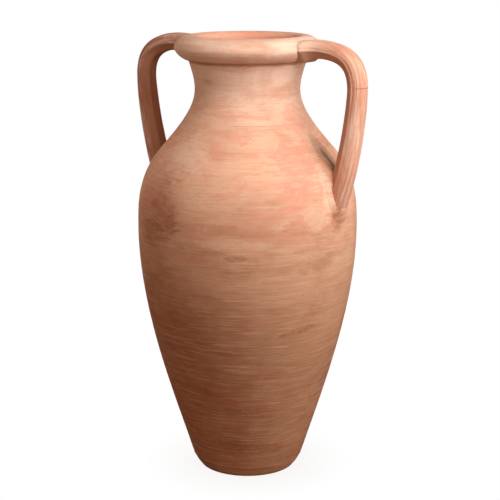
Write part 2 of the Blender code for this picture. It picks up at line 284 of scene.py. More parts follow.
def throw(name, outline, on_axis=False):
    """Lay a ring of points along the outline, spin it round the vessel's axis, weld it, and turn its faces
    outward.
    """
    bpy.ops.object.select_all(action="DESELECT")
    bpy.ops.mesh.primitive_circle_add(vertices=len(outline), radius=BELLY_RADIUS, fill_type="NOTHING")
    piece = bpy.context.object
    piece.name = name
    piece.data.name = name
    for corner, (radius, height) in zip(piece.data.vertices, outline):
        corner.co = (radius, 0.0, height)
    bpy.ops.object.mode_set(mode="EDIT")
    if on_axis:
        bpy.ops.mesh.select_mode(type="EDGE")
        bpy.ops.mesh.select_all(action="DESELECT")
        sketch = bmesh.from_edit_mesh(piece.data)
        for edge in sketch.edges:
            edge.select_set(all(corner.co.x == 0.0 for corner in edge.verts))
        bpy.ops.mesh.delete(type="EDGE")
        bpy.ops.mesh.select_mode(type="VERT")
    bpy.ops.mesh.select_all(action="SELECT")
    bpy.ops.mesh.spin(steps=WHEEL_STEPS, angle=math.tau, center=(0.0, 0.0, 0.0), axis=(0.0, 0.0, 1.0))
    bpy.ops.mesh.select_all(action="SELECT")
    bpy.ops.mesh.remove_doubles(threshold=WELD)
    bpy.ops.mesh.normals_make_consistent(inside=False)
    bpy.ops.object.mode_set(mode="OBJECT")
    return piece


def work_wall(piece, bottom, top):
    """Press rills into the outer face and finger ridges into the hollow of a thrown section."""
    for corner in piece.data.vertices:
        radius = math.hypot(corner.co.x, corner.co.y)
        height = corner.co.z
        if not bottom <= height <= top or radius < NEAR_AXIS:
            continue
        azimuth = math.atan2(corner.co.y, corner.co.x)
        if radius > outer_radius(height) - FACE_TOLERANCE:
            pressed = radius - wheel_marks(azimuth, height)
        elif radius < inner_radius(height) + FACE_TOLERANCE:
            fade = min(1.0, (height - bottom) / FINGER_FADE, (top - height) / FINGER_FADE)
            pressed = radius + finger_marks(azimuth, height) * max(0.0, fade)
        else:
            continue
        corner.co.x *= pressed / radius
        corner.co.y *= pressed / radius
    bpy.ops.object.shade_smooth_by_angle(angle=WALL_CREASE)


SOCKET_KINDS = {float: "NodeSocketFloat", tuple: "NodeSocketColor", Vector: "NodeSocketVector"}
CLAY_OUTPUTS = {"Colour": tuple, "Roughness": float, "Height": float}


def new_group(name, inputs, outputs):
    """An empty node group with inputs at their starting values, and its two end nodes."""
    group = bpy.data.node_groups.new(name, "ShaderNodeTree")
    for label, value in inputs.items():
        kind = SOCKET_KINDS[type(value)]
        entry = group.interface.new_socket(name=label, in_out="INPUT", socket_type=kind)
        entry.default_value = value
    for label, kind in outputs.items():
        group.interface.new_socket(name=label, in_out="OUTPUT", socket_type=SOCKET_KINDS[kind])
    return group, group.nodes.new("NodeGroupInput").outputs, group.nodes.new("NodeGroupOutput").inputs


def use_group(tree, group, values):
    """Put a node group in a material and set or wire its inputs."""
    return add_node(tree, "ShaderNodeGroup", values, node_tree=group).outputs


def work_out(tree, operation, *values):
    return add_node(tree, "ShaderNodeMath", dict(enumerate(values)), operation=operation).outputs[0]


def product(tree, first, *others):
    """Two or more values multiplied together."""
    for other in others:
        first = work_out(tree, "MULTIPLY", first, other)
    return first


def distance_from(tree, value, place):
    return work_out(tree, "ABSOLUTE", work_out(tree, "SUBTRACT", value, place))


def soft_step(tree, value, low, high, start=0.0, end=1.0):
    """Rises smoothly from start to end as value goes from low to high."""
    return add_node(
        tree, "ShaderNodeMapRange",
        {"Value": value, "From Min": low, "From Max": high, "To Min": start, "To Max": end},
        interpolation_type="SMOOTHSTEP",
    ).outputs[0]


def blend_colours(tree, factor, first, second, way="MIX"):
    return add_node(
        tree, "ShaderNodeMix", {0: factor, 6: first, 7: second}, data_type="RGBA", blend_type=way,
    ).outputs[2]


def stretched_noise(tree, place, stretch, detail, roughness=0.55, distortion=0.0):
    """Noise squeezed or drawn out along each direction of a place."""
    squeezed = add_node(tree, "ShaderNodeMapping", {"Vector": place, "Scale": stretch})
    return add_node(
        tree, "ShaderNodeTexNoise",
        {"Vector": squeezed.outputs[0], "Scale": 1.0, "Detail": detail, "Roughness": roughness,
         "Distortion": distortion},
    ).outputs["Fac"]


# How often each grain of the clay comes round in a metre, along X, Y and Z of its place.
BROAD_STREAKS = (7.0, 7.0, 80.0)
STREAKS = (9.0, 9.0, 400.0)
FINE_STREAKS = (16.0, 16.0, 860.0)
CLOUDS = (6.0, 6.0, 9.0)
BLOTCHES = (24.0, 24.0, 42.0)
GROG = (620.0, 620.0, 620.0)
POCKS_PER_METRE = 115.0
WORN_TINT = (0.78, 0.60, 0.50, 1.0)
RULED_TINT = (0.82, 0.70, 0.62, 1.0)
SCRAPED_CLAY = (0.86, 0.62, 0.47, 1.0)
GRIT_BROWN = (0.34, 0.15, 0.08, 1.0)
POCK_BROWN = (0.30, 0.13, 0.07, 1.0)


def make_fired_clay():
    """Unglazed clay: a redder body under a thin pale bloom, drawn out in streaks across Z of its place."""
    group, given, made = new_group("fired_clay", {
        "Place": Vector(),
        "Body Clay": (0.5, 0.2, 0.1, 1.0),
        "Bloom": (0.8, 0.5, 0.35, 1.0),
        "Bloom Cover": 0.5,
        "Streaks": 1.0,
    }, CLAY_OUTPUTS)
    place = given["Place"]
    broad_streak = stretched_noise(group, place, BROAD_STREAKS, 6.0, 0.66, 0.3)
    streak = stretched_noise(group, place, STREAKS, 5.0, 0.70)
    fine_streak = stretched_noise(group, place, FINE_STREAKS, 3.0, 0.65)
    cloud = stretched_noise(group, place, CLOUDS, 6.0, 0.58, 0.5)
    blotch = stretched_noise(group, place, BLOTCHES, 5.0, 0.6, 0.3)
    grog = stretched_noise(group, place, GROG, 2.0, 0.6)

    thinness = work_out(group, "SUBTRACT", 1.0, given["Bloom Cover"])
    film = product(group, cloud, 0.46)
    film = work_out(group, "MULTIPLY_ADD", blotch, 0.22, film)
    film = work_out(group, "MULTIPLY_ADD", broad_streak, 0.18, film)
    film = work_out(group, "MULTIPLY_ADD", streak, 0.14, film)
    film = work_out(group, "MULTIPLY_ADD", thinness, -0.6, film)
    covered = soft_step(group, film, 0.06, 0.34)
    colour = blend_colours(group, covered, given["Body Clay"], given["Bloom"])

    worn = product(group, soft_step(group, broad_streak, 0.50, 0.74), 0.42, given["Streaks"])
    colour = blend_colours(group, worn, colour, WORN_TINT, "MULTIPLY")
    ruled = product(group, soft_step(group, streak, 0.46, 0.62), 0.50, given["Streaks"])
    colour = blend_colours(group, ruled, colour, RULED_TINT, "MULTIPLY")
    scraped = product(group, soft_step(group, fine_streak, 0.50, 0.66), 0.42, given["Streaks"])
    colour = blend_colours(group, scraped, colour, SCRAPED_CLAY)
    dark_grit = soft_step(group, grog, 0.66, 0.76, 0.0, 0.40)
    colour = blend_colours(group, dark_grit, colour, GRIT_BROWN)

    pocks = add_node(
        group, "ShaderNodeTexVoronoi",
        {"Vector": place, "Scale": POCKS_PER_METRE, "Randomness": 1.0}, feature="F1",
    )
    pock_spread = soft_step(group, blotch, 0.53, 0.64)
    pock = product(group, soft_step(group, pocks.outputs["Distance"], 0.20, 0.10), pock_spread)
    colour = blend_colours(group, product(group, pock, 0.45), colour, POCK_BROWN)

    height = product(group, streak, 0.55)
    height = work_out(group, "MULTIPLY_ADD", fine_streak, 0.35, height)
    height = product(group, height, given["Streaks"])
    height = work_out(group, "MULTIPLY_ADD", grog, 0.14, height)
    height = work_out(group, "MULTIPLY_ADD", blotch, 0.20, height)
    height = work_out(group, "MULTIPLY_ADD", pock, -0.55, height)

    dull = work_out(group, "MULTIPLY_ADD", covered, 0.10, 0.78)
    dull = work_out(group, "MULTIPLY_ADD", grog, 0.10, dull)
    group.links.new(colour, made["Colour"])
    group.links.new(dull, made["Roughness"])
    group.links.new(height, made["Height"])
    return group


def make_stain_and_painted_light_mask():
    """Mask of one ragged patch, centred at an azimuth in degrees and a height in metres: used for the fire
    marks and for the patches of painted light and shade.
    """
    group, given, made = new_group("stain_and_painted_light_mask", {
        "Azimuth": 0.0,
        "Height": 0.0,
        "Ragged": 0.0,
        "Mottle": 1.0,
        "At Azimuth": 0.0,
        "At Height": 0.0,
        "Half Width": 10.0,
        "Half Height": 0.02,
        "Slant": 0.0,
    }, {"Mask": float})
    away = work_out(group, "SUBTRACT", given["Azimuth"], given["At Azimuth"])
    away = work_out(group, "WRAP", away, 180.0, -180.0)
    along = work_out(group, "DIVIDE", away, given["Half Width"])
    above = work_out(group, "SUBTRACT", given["Height"], given["At Height"])
    above = work_out(group, "SUBTRACT", above, product(group, away, given["Slant"]))
    up = work_out(group, "DIVIDE", above, given["Half Height"])
    reach = product(group, along, along)
    reach = work_out(group, "MULTIPLY_ADD", up, up, reach)
    reach = work_out(group, "SQRT", reach)
    edge = work_out(group, "ADD", reach, given["Ragged"])
    mask = product(group, soft_step(group, edge, 1.10, 0.62), given["Mottle"])
    group.links.new(mask, made["Mask"])
    return group


RED_BROWN = (0.40, 0.135, 0.065, 1.0)
DARK_BROWN = (0.27, 0.095, 0.045, 1.0)
# Dark brown of the painted shade in the crotches above the straps' roots.
PAINTED_CROTCH_SHADE = (0.115, 0.065, 0.040, 1.0)
PINK = (0.74, 0.315, 0.225, 1.0)
RUST = (0.60, 0.265, 0.16, 1.0)
PALE = (0.84, 0.56, 0.40, 1.0)
# Pale bloom; towards the top of the wall and on the left of the shoulder it is partly painted light.
PALE_BLOOM_AND_LIGHT = (0.86, 0.62, 0.49, 1.0)
SALMON = (0.80, 0.36, 0.235, 1.0)
# Browner body and bloom near the foot, partly the clay's own colour and partly painted shade.
LOW_BODY_AND_SHADE = (0.405, 0.166, 0.086, 1.0)
LOW_BLOOM_AND_SHADE = (0.555, 0.305, 0.178, 1.0)
RAGGED_EDGES = (22.0, 22.0, 62.0)
MOTTLES = (46.0, 46.0, 120.0)
FLUSHES = (15.0, 15.0, 40.0)
SEAM_FLECKS = (9.0, 9.0, 24.0)
BELLY_RING = TOTAL_HEIGHT - 0.318
HEEL_RING = 0.006
# Fire marks, and one patch of painted light on the left of the shoulder.
FIRE_MARKS_AND_PAINTED_LIGHT = [
    # azimuth, height, half width in degrees, half height, slant, strength, colour
    (-102.0, 0.503, 13.0, 0.036, 0.0, 0.46, RED_BROWN),
    (-113.0, 0.468, 13.0, 0.026, 0.0, 0.46, RED_BROWN),
    (-97.0, 0.492, 4.0, 0.020, 0.0, 0.32, DARK_BROWN),
    (-72.0, 0.487, 18.0, 0.0110, -0.0003, 0.58, RUST),
    (-50.0, 0.478, 18.0, 0.0060, 0.0, 0.50, RUST),
    (-28.0, 0.485, 9.5, 0.016, 0.0, 0.78, RUST),
    (-27.0, 0.530, 7.0, 0.050, 0.0, 0.60, PINK),
    (-26.0, 0.590, 13.0, 0.055, 0.0, 0.75, PINK),
    (-50.0, 0.507, 10.0, 0.012, 0.0, 0.45, PINK),
    (-44.0, 0.560, 16.0, 0.020, 0.0, 0.30, PINK),
    (-61.0, 0.438, 7.0, 0.0060, 0.0, 0.45, DARK_BROWN),
    (-73.0, 0.446, 8.0, 0.0050, 0.0, 0.35, RED_BROWN),
    (-29.0, 0.446, 6.0, 0.0050, 0.0, 0.45, RED_BROWN),
    (-6.0, 0.660, 16.0, 0.034, 0.0, 0.55, PINK),
    (-100.0, 0.723, 9.0, 0.0050, 0.0, 0.40, RED_BROWN),
    (-61.0, 0.752, 9.0, 0.0040, 0.0, 0.35, RED_BROWN),
    (-14.0, 0.420, 14.0, 0.014, 0.0006, 0.35, RED_BROWN),
    (-25.0, 0.300, 12.0, 0.0055, 0.0005, 0.62, RED_BROWN),
    # Painted light: a paler patch on the left of the shoulder.
    (-98.0, 0.600, 17.0, 0.040, 0.0, 0.50, PALE_BLOOM_AND_LIGHT),
    (-4.5, 0.516, 3.2, 0.022, 0.0, 0.75, RED_BROWN),
    (-8.5, 0.552, 3.4, 0.034, 0.0, 0.60, PALE_BLOOM_AND_LIGHT),
    (-64.0, 0.145, 9.0, 0.0110, 0.0, 0.42, DARK_BROWN),
    (-82.0, 0.178, 12.0, 0.0080, 0.0, 0.45, DARK_BROWN),
    (-40.0, 0.062, 26.0, 0.0140, 0.0, 0.45, RED_BROWN),
    (-70.0, 0.070, 20.0, 0.0110, 0.0, 0.42, DARK_BROWN),
    (-4.0, 0.492, 4.5, 0.024, 0.0, 0.62, RED_BROWN),
    (-9.0, 0.520, 5.0, 0.018, 0.0, 0.55, PALE),
    (-18.0, 0.502, 9.0, 0.026, 0.0, 0.50, PALE),
    (-88.0, 0.540, 14.0, 0.026, 0.0, 0.40, PALE),
    (-60.0, 0.462, 26.0, 0.0075, 0.0, 0.40, PALE),
    (60.0, 0.520, 24.0, 0.045, 0.0, 0.45, PINK),
    (118.0, 0.470, 20.0, 0.018, 0.0, 0.55, RED_BROWN),
    (150.0, 0.360, 26.0, 0.030, 0.0004, 0.40, RED_BROWN),
    (95.0, 0.690, 18.0, 0.020, 0.0, 0.40, PINK),
    (40.0, 0.240, 30.0, 0.014, 0.0003, 0.40, RED_BROWN),
    (-165.0, 0.560, 20.0, 0.030, 0.0, 0.40, PALE),
]
# Painted shade: dark patches in the crotch above each strap's root, where the strap meets the shoulder.
CROTCH_SHADE_MARKS = [
    # azimuth, height, half width in degrees, half height, strength
    (4.5, 0.583, 3.6, 0.030, 0.60),
    (4.5, 0.590, 9.0, 0.050, 0.38),
    (-175.5, 0.583, 3.6, 0.030, 0.60),
    (-175.5, 0.590, 9.0, 0.050, 0.38),
]


def make_wall_finish(fired_clay, stain_and_painted_light_mask):
    """The vessel's clay: browner and darker towards the foot and paler towards the top, partly its own
    colour and partly painted light and shade; paler low down on the side towards the soft boxes, which is
    painted light; flushed and scummed, marked by the fire, rusty at the belly seam, salmon in the throat;
    with painted shade in the crotches above the straps' roots and in the crease under the bead."""
    group, given, made = new_group("wall_finish", {
        "Body Clay": (0.47, 0.205, 0.103, 1.0),
        "Bloom": (0.80, 0.475, 0.325, 1.0),
        "Extra Bloom": 0.0,
    }, CLAY_OUTPUTS)
    place = add_node(group, "ShaderNodeTexCoord").outputs["Object"]
    x, y, z = add_node(group, "ShaderNodeSeparateXYZ", {0: place}).outputs
    azimuth = work_out(group, "DEGREES", work_out(group, "ARCTAN2", y, x))
    # Painted light: low on the vessel the bloom is made thicker and paler on the side towards the soft
    # boxes, and thinner and redder on the side away from them.
    key_light_side = work_out(group, "MULTIPLY_ADD", y, 0.57, product(group, x, 0.82))
    painted_side_light = soft_step(group, key_light_side, -0.10, 0.09, -0.12, 0.07)
    painted_side_light = product(group, painted_side_light, soft_step(group, z, 0.50, 0.30))
    # Bloom cover: thicker towards the top, partly the clay's own bloom and partly painted light, plus the
    # painted side light.
    bloom_cover_and_light = work_out(group, "ADD", soft_step(group, z, 0.16, 0.56, 0.50, 0.61), painted_side_light)
    bloom_cover_and_light = work_out(group, "ADD", bloom_cover_and_light, given["Extra Bloom"])
    # Browner and darker towards the foot and paler towards the top: partly the clay's own colour, partly
    # painted light and shade.
    risen = soft_step(group, z, 0.24, 0.58)
    body = blend_colours(group, risen, LOW_BODY_AND_SHADE, given["Body Clay"])
    bloom = blend_colours(group, risen, LOW_BLOOM_AND_SHADE, given["Bloom"])
    bloom = blend_colours(group, soft_step(group, z, 0.60, 0.74), bloom, PALE_BLOOM_AND_LIGHT)
    clay = use_group(group, fired_clay, {
        "Place": place, "Body Clay": body, "Bloom": bloom, "Bloom Cover": bloom_cover_and_light,
    })
    colour = clay["Colour"]

    radius = work_out(group, "SQRT", work_out(group, "MULTIPLY_ADD", x, x, product(group, y, y)))
    inside = soft_step(group, radius, 0.0975, 0.0950)
    throat = product(group, inside, soft_step(group, z, 0.70, 0.76), 0.75)
    colour = blend_colours(group, throat, colour, SALMON)
    flush = stretched_noise(group, place, FLUSHES, 9.0, 0.66, 0.9)
    above_belly = soft_step(group, z, 0.40, 0.56, 0.14, 0.50)
    flushed = product(group, soft_step(group, flush, 0.50, 0.575), above_belly)
    flushed = product(group, flushed, soft_step(group, z, 0.60, 0.74, 1.0, 0.6))
    colour = blend_colours(group, flushed, colour, PINK)
    by_belly = soft_step(group, z, 0.36, 0.52, 0.10, 0.40)
    scummed = product(group, soft_step(group, flush, 0.47, 0.37), by_belly)
    colour = blend_colours(group, scummed, colour, bloom)

    seam_flecks = stretched_noise(group, place, SEAM_FLECKS, 6.0, 0.62, 0.3)
    ring = soft_step(group, distance_from(group, z, BELLY_RING), 0.014, 0.002)
    ring = product(group, ring, soft_step(group, seam_flecks, 0.46, 0.66), 0.40)
    colour = blend_colours(group, ring, colour, RUST)
    heel = product(group, soft_step(group, distance_from(group, z, HEEL_RING), 0.010, 0.002), 0.30)
    colour = blend_colours(group, heel, colour, PALE)

    ragged = stretched_noise(group, place, RAGGED_EDGES, 8.0, 0.72, 0.8)
    ragged = work_out(group, "MULTIPLY_ADD", ragged, 3.2, -1.6)
    mottle = stretched_noise(group, place, MOTTLES, 9.0, 0.75, 1.2)
    mottle = soft_step(group, mottle, 0.40, 0.54, 0.25, 1.0)
    for at_azimuth, at_height, half_width, half_height, slant, strength, tint in FIRE_MARKS_AND_PAINTED_LIGHT:
        mark = use_group(group, stain_and_painted_light_mask, {
            "Azimuth": azimuth, "Height": z, "Ragged": ragged, "Mottle": mottle,
            "At Azimuth": at_azimuth, "At Height": at_height,
            "Half Width": half_width, "Half Height": half_height, "Slant": slant,
        })
        colour = blend_colours(group, product(group, mark["Mask"], strength), colour, tint)
    # Painted shade in the crotches above the straps' roots, with softer edges than the fire marks.
    softly_ragged = product(group, ragged, 0.15)
    for at_azimuth, at_height, half_width, half_height, strength in CROTCH_SHADE_MARKS:
        mark = use_group(group, stain_and_painted_light_mask, {
            "Azimuth": azimuth, "Height": z, "Ragged": softly_ragged,
            "At Azimuth": at_azimuth, "At Height": at_height,
            "Half Width": half_width, "Half Height": half_height,
        })
        colour = blend_colours(group, product(group, mark["Mask"], strength), colour, PAINTED_CROTCH_SHADE)
    # Painted shade: a dark red-brown line in the crease under the bead, where the rim meets the neck.
    painted_crease_shade = soft_step(group, distance_from(group, z, RIM_SEAM), 0.0060, 0.0012)
    painted_crease_shade = product(group, painted_crease_shade, soft_step(group, seam_flecks, 0.36, 0.56))
    painted_crease_shade = product(group, painted_crease_shade, soft_step(group, radius, 0.0985, 0.1005), 0.50)
    colour = blend_colours(group, painted_crease_shade, colour, RED_BROWN)
    group.links.new(colour, made["Colour"])
    group.links.new(clay["Roughness"], made["Roughness"])
    group.links.new(clay["Height"], made["Height"])
    return group


GRAIN_RELIEF = 0.0006
GRAIN_SHARPNESS = 0.8
CLAY_SHEEN = 0.25


def clay_material(name, finish, values):
    """A material whose colour, dullness and fine relief come from one of the clay groups."""
    material = bpy.data.materials.new(name)
    material.use_nodes = True
    tree = material.node_tree
    shader = tree.nodes["Principled BSDF"]
    surface = use_group(tree, finish, values)
    bump = add_node(
        tree, "ShaderNodeBump",
        {"Height": surface["Height"], "Distance": GRAIN_RELIEF, "Strength": GRAIN_SHARPNESS},
    )
    tree.links.new(surface["Colour"], shader.inputs["Base Color"])
    tree.links.new(surface["Roughness"], shader.inputs["Roughness"])
    tree.links.new(bump.outputs[0], shader.inputs["Normal"])
    shader.inputs["Metallic"].default_value = 0.0
    shader.inputs["Specular IOR Level"].default_value = CLAY_SHEEN
    return material


def dress(piece, material, slot, *nodes):
    """Give a finished piece its clay, hide the parts of the model that it stands for, and hang it on what
    it rides on.
    """
    piece.data.materials.clear()
    piece.data.materials.append(material)
    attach(piece, "root")
    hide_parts(*nodes)


fired_clay = make_fired_clay()
wall_finish = make_wall_finish(fired_clay, make_stain_and_painted_light_mask())

spigot_radius = lap_radius(SLAB_EDGE_HEIGHT)
upper_face = [(spigot_radius * share, FLOOR_THICKNESS) for share in FLAT_SHARES + (1.0,)]
underside = [(outer_radius(0.0) * share, 0.0) for share in (UNDERSIDE_EDGE,) + FLAT_SHARES[::-1]]
slab_outline = upper_face + [(spigot_radius, SLAB_EDGE_HEIGHT)] + skin(0.0, SLAB_EDGE_HEIGHT) + underside
floor_slab = throw("floor_slab_clay", slab_outline, on_axis=True)
work_wall(floor_slab, UNDERSIDE_TOLERANCE, SLAB_EDGE_HEIGHT)
slab_clay = clay_material("floor_slab_clay", wall_finish, {"Extra Bloom": -0.02})
dress(floor_slab, slab_clay, "body_clay", "floor_slab")


# ---- Lower body -----------------------------------------------------------------------------------
# The tall tapering wall from the base to just above the widest belly, thrown in one length and let
# stiffen. It sits over the slab's raised middle and carries a tongue for the next section.
BELLY_SEAM = TOTAL_HEIGHT - 0.320
NECK_SEAM = TOTAL_HEIGHT - 0.148
LAP_LENGTH = 0.012
LAP_COVER = 0.8
LEAST_LEAN = 0.001


def lap_top(seam):
    """Top of the tongue over a seam, lower where the wall leans far."""
    half_wall = outer_radius(seam) - lap_radius(seam)
    return seam + min(LAP_LENGTH, LAP_COVER * half_wall / max(abs(outer_lean(seam)), LEAST_LEAN))


def throw_section(name, seam_below, top_below, seam_above):
    """A ring of wall, rebated inside over what stands up below it, with a tongue for the next."""
    seat = seam_below + SKIN_GAP
    rebate_top = top_below + FIT_GAP
    rebate_radius = lap_radius(seam_below) + FIT_GAP
    tongue_top = lap_top(seam_above)
    outline = [(lap_radius(seam_above), tongue_top), (lap_radius(seam_above), seam_above)]
    outline += skin(seat, seam_above)
    outline += [(rebate_radius, seat), (rebate_radius, rebate_top)]
    outline += [(inner_radius(h), h) for h in heights_between(rebate_top, tongue_top, HOLLOW_STEP)]
    piece = throw(name, outline)
    work_wall(piece, seat, tongue_top)
    return piece


lower_body = throw_section("lower_body_clay", SLAB_EDGE_HEIGHT, FLOOR_THICKNESS, BELLY_SEAM)
dress(lower_body, clay_material("lower_body_clay", wall_finish, {}), "body_clay", "lower_body")


# ---- Upper body -----------------------------------------------------------------------------------
# The shoulder section, thrown separately, set over the lower body's tongue while both are leather
# hard, and turned in towards the neck on the wheel.
upper_body = throw_section("upper_body_clay", BELLY_SEAM, lap_top(BELLY_SEAM), NECK_SEAM)
dress(upper_body, clay_material("upper_body_clay", wall_finish, {}), "body_clay", "upper_body")


# ---- Neck -----------------------------------------------------------------------------------------
# The waisted collar between the shoulder and the rim, pulled up from a coil set on the shoulder.
neck = throw_section("neck_clay", NECK_SEAM, lap_top(NECK_SEAM), RIM_SEAM)
dress(neck, clay_material("neck_clay", wall_finish, {"Extra Bloom": 0.03}), "body_clay", "neck")


# ---- Rim ------------------------------------------------------------------------------------------
# A thick coil rolled over outwards into a bead, set over the top of the neck and smoothed with a wet
# leather strip, so it is paler and closer grained than the wall.
RIM_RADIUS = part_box("rim")[1].y
CREST_INWARD = 0.0044
CREST_RADIUS = RIM_SEAT_RADIUS - CREST_INWARD
RIM_WIDEST = TOTAL_HEIGHT - 0.022
MOUTH_ROLL_WIDTH = 0.0126
MOUTH_ROLL_HEIGHT = 0.010
UNDERSIDE_PINCH = 1.3
BEAD_STEPS = 20
ROLL_STEPS = 14
THROAT_STEPS = 10
JOINT_FACE = 0.001
JOINT_DEPTH = 0.004


def ellipse_arc(centre, half_width, half_height, start, end, steps, pinch=1.0):
    """Part of an ellipse round a (radius, height) centre, in quarter turns, drawn in by any pinch."""
    points = []
    for i in range(steps + 1):
        angle = math.pi / 2 * (start + (end - start) * i / steps)
        out = math.copysign(abs(math.cos(angle)) ** pinch, math.cos(angle))
        up = math.copysign(abs(math.sin(angle)) ** pinch, math.sin(angle))
        points.append((centre[0] + half_width * out, centre[1] + half_height * up))
    return points


def bead(growth=0.0):
    """The rolled bead from its crest, out to its widest and in to its seat."""
    upper = ellipse_arc(
        (CREST_RADIUS, RIM_WIDEST),
        RIM_RADIUS - CREST_RADIUS + growth,
        TOTAL_HEIGHT - RIM_WIDEST + growth,
        1, 0, BEAD_STEPS,
    )
    lower = ellipse_arc(
        (RIM_SEAT_RADIUS, RIM_WIDEST),
        RIM_RADIUS - RIM_SEAT_RADIUS + growth,
        RIM_WIDEST - RIM_SEAM + growth,
        0, -1, BEAD_STEPS, UNDERSIDE_PINCH,
    )
    return upper + lower[1:]


seat = RIM_SEAM + SKIN_GAP
rebate_top = lap_top(RIM_SEAM) + FIT_GAP
rebate_radius = lap_radius(RIM_SEAM) + FIT_GAP
throat_radius = inner_radius(RIM_SEAM)
rim_outline = bead()[:-1] + [(RIM_SEAT_RADIUS, seat), (rebate_radius, seat), (rebate_radius, rebate_top)]
mouth_middle = (CREST_RADIUS, TOTAL_HEIGHT - MOUTH_ROLL_HEIGHT)
mouth_roll = ellipse_arc(mouth_middle, MOUTH_ROLL_WIDTH, MOUTH_ROLL_HEIGHT, 2, 1, ROLL_STEPS)
roll_radius, roll_height = mouth_roll[0]
for i in range(THROAT_STEPS):
    share = i / THROAT_STEPS
    rim_outline.append((
        throat_radius + (roll_radius - throat_radius) * share,
        rebate_top + (roll_height - rebate_top) * share,
    ))
rim_outline += mouth_roll[:-1]
rim = throw("rim_clay", rim_outline)
for corner in rim.data.vertices:
    azimuth = math.atan2(corner.co.y, corner.co.x)
    radius = math.hypot(corner.co.x, corner.co.y)
    if radius > rebate_radius + JOINT_FACE or corner.co.z > rebate_top + JOINT_DEPTH:
        round_x = math.cos(azimuth)
        round_y = math.sin(azimuth)
        dent = WOBBLE_DEPTH * unevenness(round_x * 1.7, round_y * 1.7, corner.co.z * 20.4)
        rill = RILLING_DEPTH * unevenness(round_x, round_y, corner.co.z * 160.0)
        inward = dent + rill if radius > CREST_RADIUS else -0.5 * dent
        corner.co.x *= (radius - inward) / radius
        corner.co.y *= (radius - inward) / radius
        corner.co.z -= 0.5 * dent * max(0.0, (corner.co.z - RIM_WIDEST) / (TOTAL_HEIGHT - RIM_WIDEST))
bpy.ops.object.shade_smooth_by_angle(angle=WALL_CREASE)
dress(rim, clay_material("rim_clay", wall_finish, {"Extra Bloom": 0.04}), "body_clay", "rim")


# ---- Seam coils -----------------------------------------------------------------------------------
# Soft coils smeared over the two joints inside the hollow, to seal the laps. They are seen only
# through the mouth and are left as the fingers left them.
COIL_HALF_WIDTH = 0.014
COIL_THICKNESS = 0.007
COIL_STEPS = 14
DAB_SHARE = 0.30


def smear_coil(name, middle):
    """A ring lying on the hollow's face, thickest over the joint and pressed into dabs."""
    bottom = middle - COIL_HALF_WIDTH
    heights = [bottom + 2 * COIL_HALF_WIDTH * i / COIL_STEPS for i in range(COIL_STEPS + 1)]
    back = [(inner_radius(h) - FIT_GAP, h) for h in reversed(heights)]
    front = [
        (inner_radius(h) - FIT_GAP - COIL_THICKNESS * math.sin(math.pi * i / COIL_STEPS), h)
        for i, h in enumerate(heights)
    ]
    coil = throw(name, back + front[1:-1])
    for corner in coil.data.vertices:
        radius = math.hypot(corner.co.x, corner.co.y)
        proud = inner_radius(corner.co.z) - FIT_GAP - radius
        if proud > FIT_GAP:
            dab = unevenness(corner.co.x * 45.0, corner.co.y * 45.0, corner.co.z * 70.0)
            pressed = radius + proud * DAB_SHARE * dab
            corner.co.x *= pressed / radius
            corner.co.y *= pressed / radius
    bpy.ops.object.shade_smooth_by_angle(angle=SOFT_CREASE)
    return coil


for coil_name, seam in (("belly_seam_coil", BELLY_SEAM), ("neck_seam_coil", NECK_SEAM)):
    coil = smear_coil(coil_name + "_clay", lap_top(seam))
    coil_clay = clay_material(coil.name, wall_finish, {"Extra Bloom": -0.05})
    dress(coil, coil_clay, "luting_clay", coil_name)


# ---- Strap handles --------------------------------------------------------------------------------
# Two straps pulled by wet hands from a lump of clay, so they keep lengthwise ridges. The top end is
# pressed against the rim and the lower end is luted to the shoulder.
STRAP_WIDTH = 0.040
STRAP_THICKNESS = 0.032
STRAP_FLUTE_DEPTH = 0.0012
STRAP_RIDGES = 3
STRAP_ARRIS_DEPTH = 0.003
STRAP_BACK_SHARE = 0.5
STRAP_SQUARENESS = 0.8
SIDE_GROOVE_DEPTH = 0.0007
SIDE_GROOVE_AT = 0.20
SIDE_GROOVE_WIDTH = 0.07
STRAP_SIDES = 52
BACK_STEPS = 10
STRAP_STEPS = 90
ROOT_FLARE = 1.18
HANDLE_EMBED = 0.0014
COLLAR_FLARE = 0.72
COLLAR_SINK = 0.06
COLLAR_DROP = 0.55
COLLAR_LENGTH = 0.011
HANDLE_TOP_BELOW_CREST = 0.0035
HANDLE_TOP_RISE = 0.008
HANDLE_START_PAST_CREST = 0.0024
HANDLE_TURN_BELOW_CREST = 0.088
HANDLE_ROOT_BELOW_CREST = 0.315
HANDLE_ROOT_DEPTH = 0.023
PULL_DEPTH = 0.0005
DENT_DEPTH = 0.0006
CREST_CLEARANCE = 0.0004
STRAP_CREASE = math.radians(50)
CENTRE_STEPS = 200
ENVELOPE_DEPTH = 0.12
BEAD_OVERLAP = 0.002
SMEARS = (14.0, 60.0, 130.0)
CRACK_WAVER = (120.0, 120.0, 120.0)
CRACK_DRIFT = 0.0024
PITS_PER_METRE = 240.0
SMEAR_GREY = (0.76, 0.57, 0.49, 1.0)
SMEAR_RED = (0.60, 0.235, 0.15, 1.0)
SLIP = (0.82, 0.56, 0.43, 1.0)
BACK_BROWN = (0.42, 0.195, 0.115, 1.0)
CRACK_BROWN = (0.24, 0.09, 0.05, 1.0)
PIT_BROWN = (0.28, 0.12, 0.075, 1.0)
# The right strap's thicker bloom and stronger rim slip are partly painted light: it is the strap on the lit
# side.
STRAPS = [
    # side, how far past the belly, seed, crack, bloom cover, rim slip
    ("left", 0.032, 11.0, 0.0, 0.34, 0.45),
    ("right", 0.028, 3.0, 1.0, 0.52, 0.75),
]


